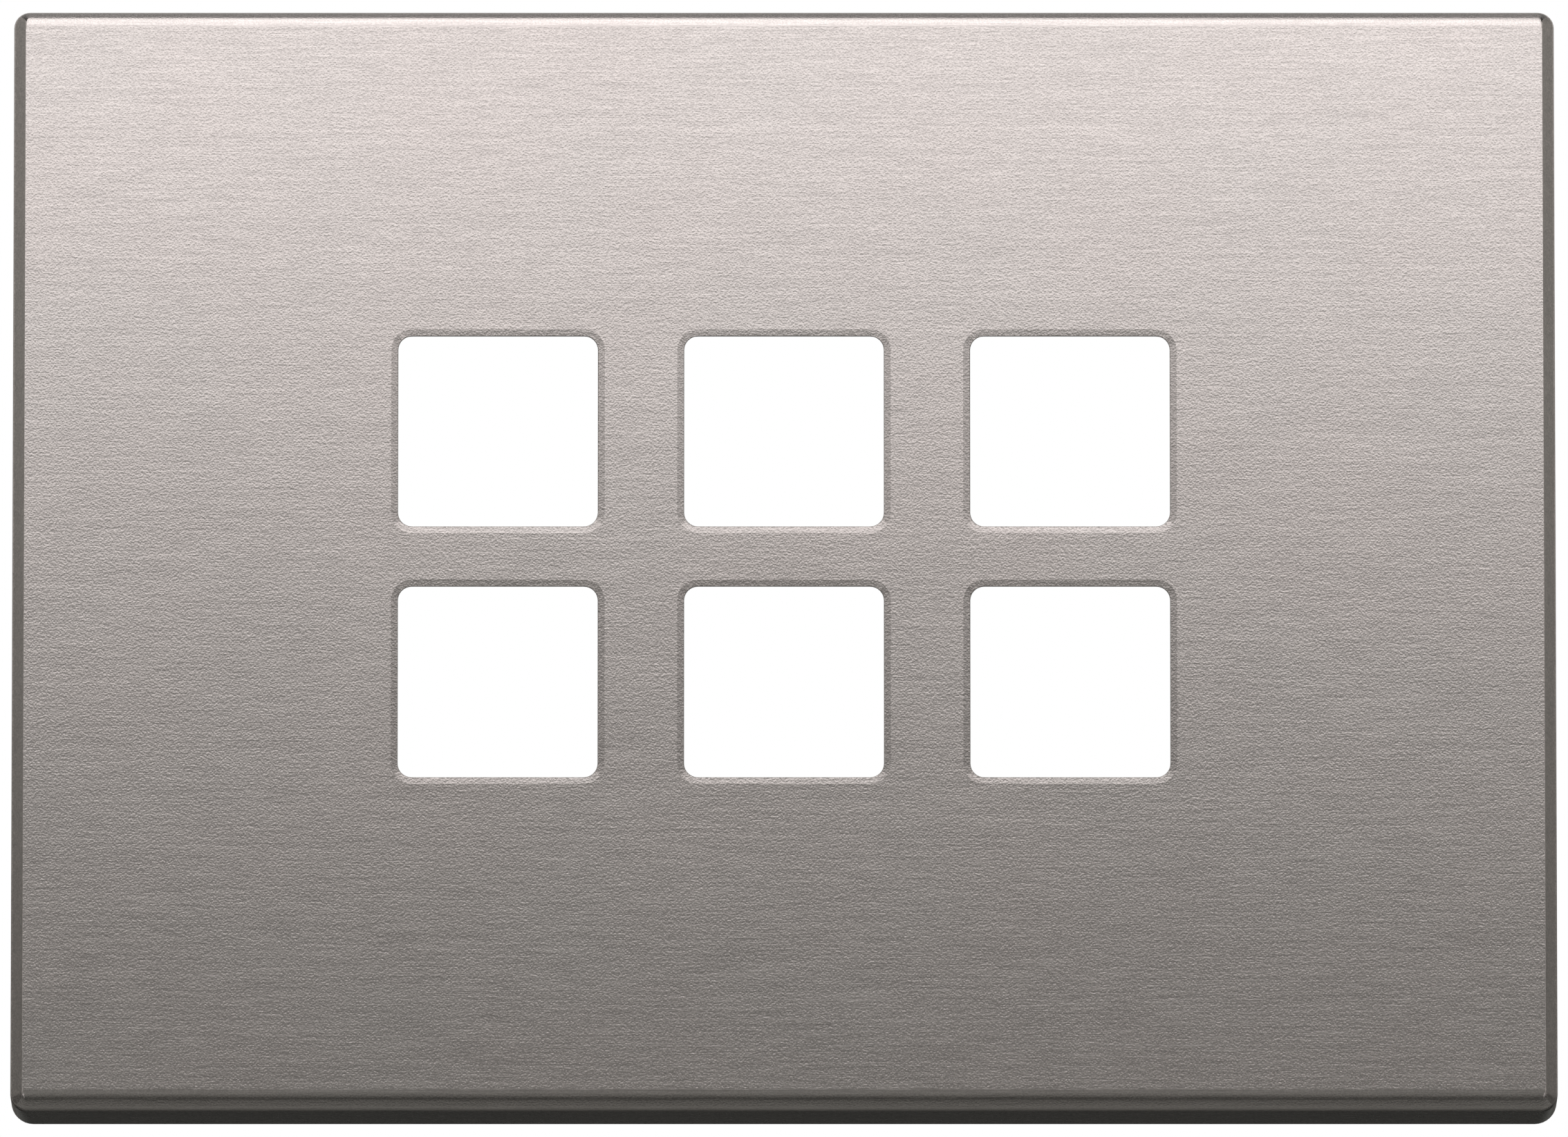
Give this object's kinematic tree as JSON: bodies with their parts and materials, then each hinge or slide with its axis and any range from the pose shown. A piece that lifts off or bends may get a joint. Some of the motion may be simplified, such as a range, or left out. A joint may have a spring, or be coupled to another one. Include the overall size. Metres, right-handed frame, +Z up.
{
  "type": "grid switch plate",
  "caption": "Rectangular brushed metal cover plate for a grid of wall switches, with bevelled edges and square windows, on a moulded carrier that snaps to a mounting grid.",
  "frame": {"origin": "centre of the plate on the wall plane, the flat rear rim of the skirt", "axes": "+X along the width to the viewer's right, +Y into the wall, +Z up along the height; the front faces -Y"},
  "size_m": [0.1214, 0.0068, 0.0884],
  "materials": {
    "brushed_metal": "brushed along the width, satin anodised in a warm nickel tone",
    "carrier_plastic": "moulded with a fine matt texture"
  },
  "bodies": {
    "root": {"front_plate": "brushed_metal", "clip_frame": "carrier_plastic"}
  },
  "joints": []
}
